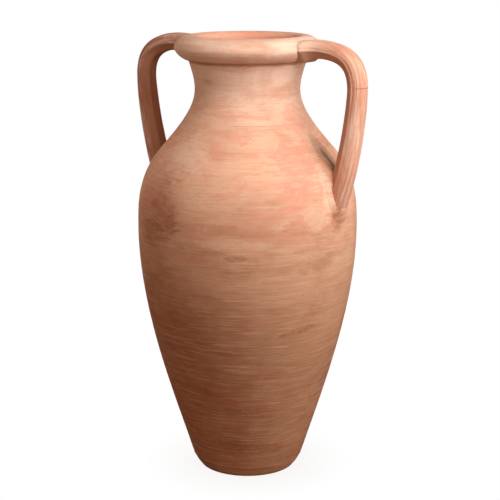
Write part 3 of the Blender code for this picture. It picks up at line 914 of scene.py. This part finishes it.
def strap_section():
    """Cross-section of a strap: ridged rounded front, an arris along each side and a narrower back."""
    half_width = STRAP_WIDTH / 2
    half_thickness = STRAP_THICKNESS / 2
    outline = []
    for i in range(STRAP_SIDES + 1):
        angle = math.pi * i / STRAP_SIDES
        across = math.copysign(abs(math.cos(angle)) ** STRAP_SQUARENESS, math.cos(angle))
        through = abs(math.sin(angle)) ** STRAP_SQUARENESS
        flute = STRAP_FLUTE_DEPTH * (math.cos(math.pi * STRAP_RIDGES * across) - 1.0) / 2 * through
        groove = SIDE_GROOVE_DEPTH * math.exp(-((through - SIDE_GROOVE_AT) / SIDE_GROOVE_WIDTH) ** 2)
        outline.append((
            across * (half_width - groove),
            through * (half_thickness + STRAP_ARRIS_DEPTH) - STRAP_ARRIS_DEPTH + flute,
        ))
    corners = [
        (-half_width, -STRAP_ARRIS_DEPTH),
        (-STRAP_BACK_SHARE * half_width, -half_thickness),
        (STRAP_BACK_SHARE * half_width, -half_thickness),
        (half_width, -STRAP_ARRIS_DEPTH),
    ]
    for low, high in zip(corners, corners[1:]):
        outline += [
            (low[0] + (high[0] - low[0]) * i / BACK_STEPS, low[1] + (high[1] - low[1]) * i / BACK_STEPS)
            for i in range(1, BACK_STEPS + 1)
        ]
    outline.pop()
    bpy.ops.object.select_all(action="DESELECT")
    bpy.ops.mesh.primitive_circle_add(vertices=len(outline), radius=half_width, fill_type="NOTHING")
    section = bpy.context.object
    section.name = "strap_section"
    for corner, (across, through) in zip(section.data.vertices, outline):
        corner.co = (across, through, 0.0)
    bpy.ops.object.convert(target="CURVE")
    section.data.dimensions = "2D"
    return section


def handle_knots(past_belly):
    """Centre line: (radius, height), then the pulls before and after, then the section's scale."""
    start_height = TOTAL_HEIGHT - HANDLE_TOP_BELOW_CREST - STRAP_THICKNESS / 2
    start = (CREST_RADIUS + HANDLE_START_PAST_CREST, start_height)
    turn = (BELLY_RADIUS + past_belly, TOTAL_HEIGHT - HANDLE_TURN_BELOW_CREST)
    root_height = TOTAL_HEIGHT - HANDLE_ROOT_BELOW_CREST
    root = (outer_radius(root_height) - HANDLE_ROOT_DEPTH, root_height)
    spread = turn[0] - start[0]
    drop = start[1] - turn[1]
    fall = turn[1] - root[1]
    return [
        (start, (-0.5 * spread, 0.0), (0.66 * spread, HANDLE_TOP_RISE), 1.0),
        (turn, (0.002, 0.93 * drop), (-0.003, -0.25 * fall), 1.0),
        (root, (0.034, 0.33 * fall), (-0.01, -0.1 * fall), ROOT_FLARE),
    ]


def centre_line(knots, steps):
    """Points along the middle of the strap, with the distance travelled to each."""
    points = []
    for (low, _, after, _), (high, before, _, _) in zip(knots, knots[1:]):
        leaving = (low[0] + after[0], low[1] + after[1])
        arriving = (high[0] + before[0], high[1] + before[1])
        pulls = [low, leaving, arriving, high]
        for i in range(steps):
            t = i / steps
            shares = ((1 - t) ** 3, 3 * t * (1 - t) ** 2, 3 * t**2 * (1 - t), t**3)
            points.append((
                sum(share * pull[0] for share, pull in zip(shares, pulls)),
                sum(share * pull[1] for share, pull in zip(shares, pulls)),
            ))
    points.append(knots[-1][0])
    run = [0.0]
    for before, after in zip(points, points[1:]):
        run.append(run[-1] + math.dist(before, after))
    return points, run


def strap_places(piece, knots):
    """For each corner: width across the strap, depth towards its outer face, distance along it."""
    points, run = centre_line(knots, CENTRE_STEPS)
    finder = kdtree.KDTree(len(points))
    for i, (radius, height) in enumerate(points):
        finder.insert((radius, 0.0, height), i)
    finder.balance()
    places = []
    for corner in piece.data.vertices:
        i = finder.find((corner.co.x, 0.0, corner.co.z))[1]
        before = points[max(i - 1, 0)]
        after = points[min(i + 1, len(points) - 1)]
        ahead = Vector((after[0] - before[0], after[1] - before[1])).normalized()
        offset = Vector((corner.co.x - points[i][0], corner.co.z - points[i][1]))
        outward = Vector((-ahead.y, ahead.x))
        places.append((corner.co.y, offset.dot(outward), run[i] + offset.dot(ahead)))
    return places


def sweep_strap(name, knots, section):
    """Sweep the section along the centre line and turn the result into one closed mesh."""
    bpy.ops.object.select_all(action="DESELECT")
    bpy.ops.curve.primitive_bezier_curve_add()
    path = bpy.context.object
    path.name = name
    path.data.dimensions = "3D"
    path.data.twist_mode = "MINIMUM"
    path.data.resolution_u = STRAP_STEPS
    path.data.bevel_mode = "OBJECT"
    path.data.bevel_object = section
    path.data.use_fill_caps = True
    spline = path.data.splines[0]
    spline.bezier_points.add(1)
    for point, (middle, before, after, scale) in zip(spline.bezier_points, knots):
        point.handle_left_type = "FREE"
        point.handle_right_type = "FREE"
        point.co = (middle[0], 0.0, middle[1])
        point.handle_left = (middle[0] + before[0], 0.0, middle[1] + before[1])
        point.handle_right = (middle[0] + after[0], 0.0, middle[1] + after[1])
        point.radius = scale
    bpy.ops.object.convert(target="MESH")
    bpy.ops.object.mode_set(mode="EDIT")
    bpy.ops.mesh.select_all(action="SELECT")
    bpy.ops.mesh.remove_doubles(threshold=WELD)
    bpy.ops.mesh.normals_make_consistent(inside=False)
    bpy.ops.object.mode_set(mode="OBJECT")
    return bpy.context.object


def work_strap(strap, knots, seed):
    """Flare the strap where it meets the rim, and leave pulled grooves and finger dents along it."""
    places = strap_places(strap, knots)
    normals = [corner.normal.copy() for corner in strap.data.vertices]
    start = RIM_RADIUS - knots[0][0][0]
    for corner, normal, (width, depth, along) in zip(strap.data.vertices, normals, places):
        from_rim = max(0.0, along - start)
        flare = math.exp(-from_rim / COLLAR_LENGTH)
        pull = unevenness(width * 150.0, depth * 60.0 + seed, along * 7.0)
        dent = unevenness(width * 30.0 + seed, depth * 30.0, along * 26.0)
        corner.co -= normal * (PULL_DEPTH * pull + DENT_DEPTH * dent)
        corner.co.y += width * COLLAR_FLARE * flare
        corner.co.z += depth * (-COLLAR_SINK if depth > 0.0 else COLLAR_DROP) * flare
        corner.co.z = min(corner.co.z, TOTAL_HEIGHT - CREST_CLEARANCE)


def vessel_envelope():
    """The vessel's outer shape, filled and a little small, which trims the ends of the straps."""
    bottom = BELLY_SEAM - ENVELOPE_DEPTH
    wall = skin(bottom, RIM_SEAM - BEAD_OVERLAP, HOLLOW_STEP)
    outline = [(0.0, TOTAL_HEIGHT)] + bead(-HANDLE_EMBED)
    outline += [(radius - HANDLE_EMBED, height) for radius, height in wall]
    outline += [(0.0, bottom)]
    return throw("vessel_envelope", outline, on_axis=True)


def pick(piece):
    bpy.ops.object.select_all(action="DESELECT")
    piece.select_set(True)
    bpy.context.view_layer.objects.active = piece


def cut_away(piece, cutter):
    pick(piece)
    trim = piece.modifiers.new("trim", "BOOLEAN")
    trim.operation = "DIFFERENCE"
    trim.solver = "EXACT"
    trim.object = cutter
    bpy.ops.object.modifier_apply(modifier=trim.name)


def turn_half_round(piece):
    """The left handle is made like the right one and swung half round the vessel."""
    pick(piece)
    piece.rotation_euler = (0.0, 0.0, math.pi)
    bpy.ops.object.transform_apply(location=True, rotation=True, scale=True)


def make_strap_finish(fired_clay):
    """Strap clay: streaked along the pull, slipped by the rim, brown on the back, cracked and pitted."""
    group, given, made = new_group("strap_finish", {
        "Body Clay": (0.49, 0.205, 0.122, 1.0),
        "Bloom": (0.79, 0.45, 0.32, 1.0),
        "Bloom Cover": 0.5,
        "Rim Slip": 0.8,
        "Crack": 0.0,
        "Crack At": 0.16,
        "Root At": 0.36,
    }, CLAY_OUTPUTS)
    strap_place = add_node(group, "ShaderNodeAttribute", attribute_name="strap_place").outputs["Vector"]
    width, depth, along = add_node(group, "ShaderNodeSeparateXYZ", {0: strap_place}).outputs
    across = work_out(group, "MULTIPLY_ADD", depth, 0.9, width)
    pulled = add_node(group, "ShaderNodeCombineXYZ", {0: along, 1: depth, 2: across}).outputs[0]
    clay = use_group(group, fired_clay, {
        "Place": pulled, "Body Clay": given["Body Clay"], "Bloom": given["Bloom"],
        "Bloom Cover": given["Bloom Cover"], "Streaks": 1.6,
    })
    colour = clay["Colour"]
    smear = stretched_noise(group, pulled, SMEARS, 8.0, 0.70, 0.6)
    colour = blend_colours(group, soft_step(group, smear, 0.52, 0.60, 0.0, 0.65), colour, SMEAR_GREY)
    colour = blend_colours(group, soft_step(group, smear, 0.48, 0.40, 0.0, 0.70), colour, SMEAR_RED)
    by_rim = soft_step(group, along, 0.090, 0.032, 0.0, given["Rim Slip"])
    colour = blend_colours(group, by_rim, colour, SLIP)
    on_back = soft_step(group, depth, -0.0022, -0.0050, 0.0, 0.75)
    colour = blend_colours(group, on_back, colour, BACK_BROWN)

    waver = stretched_noise(group, pulled, CRACK_WAVER, 5.0, 0.7)
    wandering = work_out(group, "SUBTRACT", along, given["Crack At"])
    wandering = work_out(group, "MULTIPLY_ADD", waver, CRACK_DRIFT, wandering)
    crack = soft_step(group, distance_from(group, wandering, CRACK_DRIFT / 2), 0.0007, 0.0001)
    crack = product(group, crack, soft_step(group, depth, 0.000, 0.006), given["Crack"])
    colour = blend_colours(group, product(group, crack, 0.75), colour, CRACK_BROWN)

    above_root = work_out(group, "SUBTRACT", given["Root At"], 0.05)
    at_root = soft_step(group, along, above_root, given["Root At"])
    pitted = add_node(
        group, "ShaderNodeTexVoronoi",
        {"Vector": pulled, "Scale": PITS_PER_METRE, "Randomness": 1.0}, feature="F1",
    ).outputs["Distance"]
    pit = product(group, soft_step(group, pitted, 0.34, 0.12), at_root)
    colour = blend_colours(group, product(group, pit, 0.55), colour, PIT_BROWN)
    height = work_out(group, "MULTIPLY_ADD", crack, -1.4, clay["Height"])
    height = work_out(group, "MULTIPLY_ADD", pit, -1.0, height)
    group.links.new(colour, made["Colour"])
    group.links.new(clay["Roughness"], made["Roughness"])
    group.links.new(height, made["Height"])
    return group


strap_finish = make_strap_finish(fired_clay)
section = strap_section()
envelope = vessel_envelope()
straps = {}
for side, past_belly, seed, crack, bloom_cover_and_light, rim_slip_and_light in STRAPS:
    knots = handle_knots(past_belly)
    strap = sweep_strap("handle_" + side + "_clay", knots, section)
    work_strap(strap, knots, seed)
    cut_away(strap, envelope)
    place_layer = strap.data.attributes.new("strap_place", "FLOAT_VECTOR", "POINT")
    for entry, place in zip(place_layer.data, strap_places(strap, knots)):
        entry.vector = place
    bpy.ops.object.shade_smooth_by_angle(angle=STRAP_CREASE)
    if side == "left":
        turn_half_round(strap)
    values = {"Crack": crack, "Bloom Cover": bloom_cover_and_light, "Rim Slip": rim_slip_and_light}
    dress(strap, clay_material(strap.name, strap_finish, values), "handle_clay", "handle_" + side)
    straps[side] = strap


# ---- Root pads ------------------------------------------------------------------------------------
# Clay pressed round each strap's lower root and smoothed out over the shoulder with a thumb, which
# feathers it into the wall. It is the same clay, wetter when it went on, so it is more pitted.
PAD_MIDDLE = TOTAL_HEIGHT - 0.261
PAD_HALF_WIDTH = 0.035
PAD_HALF_LENGTH = 0.064
PAD_SWELL = 0.0118
PAD_SINK = 0.0007
PAD_BED = 0.0009
PAD_ROUNDNESS = 2.2
PAD_SEGMENTS = 96
PAD_RINGS = 72
THUMB_SHARE = 0.18
THUMB_WAVES = 2.6
PITTING_DEPTH = 0.0004
PITTING_WAVES = 16.0


def smear_pad(name, seed):
    """A ball pressed flat on the shoulder: its upper half swells, its lower half beds in the wall."""
    bpy.ops.object.select_all(action="DESELECT")
    bpy.ops.mesh.primitive_uv_sphere_add(segments=PAD_SEGMENTS, ring_count=PAD_RINGS, radius=1.0)
    pad = bpy.context.object
    pad.name = name
    pad.data.name = name
    lean = outer_lean(PAD_MIDDLE)
    stretch = math.hypot(1.0, lean)
    for corner in pad.data.vertices:
        across, up, swell = corner.co
        height = PAD_MIDDLE + up * PAD_HALF_LENGTH / stretch
        azimuth = across * PAD_HALF_WIDTH / outer_radius(height)
        bed = outer_radius(height) - wheel_marks(azimuth, height) - PAD_SINK
        if swell > 0.0:
            thumb = noise.noise(Vector((across * THUMB_WAVES + seed, up * THUMB_WAVES, 0.0)))
            pitting = noise.noise(Vector((across * PITTING_WAVES, up * PITTING_WAVES + seed, 4.0)))
            rise = PAD_SWELL * swell**PAD_ROUNDNESS * (1.0 + THUMB_SHARE * thumb)
            rise += PITTING_DEPTH * pitting * swell
        else:
            rise = PAD_BED * swell
        tilt = math.atan(outer_lean(height))
        radius = bed + rise * math.cos(tilt)
        corner.co = (radius * math.cos(azimuth), radius * math.sin(azimuth), height - rise * math.sin(tilt))
    bpy.ops.object.mode_set(mode="EDIT")
    bpy.ops.mesh.select_all(action="SELECT")
    bpy.ops.mesh.normals_make_consistent(inside=False)
    bpy.ops.object.mode_set(mode="OBJECT")
    bpy.ops.object.shade_smooth_by_angle(angle=SOFT_CREASE)
    return pad


for side, seed in (("left", 5.0), ("right", 1.0)):
    pad = smear_pad("root_pad_" + side + "_clay", seed)
    if side == "left":
        turn_half_round(pad)
    cut_away(pad, straps[side])
    pad_clay = clay_material(pad.name, wall_finish, {"Extra Bloom": -0.03})
    dress(pad, pad_clay, "luting_clay", "root_pad_" + side)

for helper in (section, envelope):
    bpy.data.objects.remove(helper, do_unlink=True)
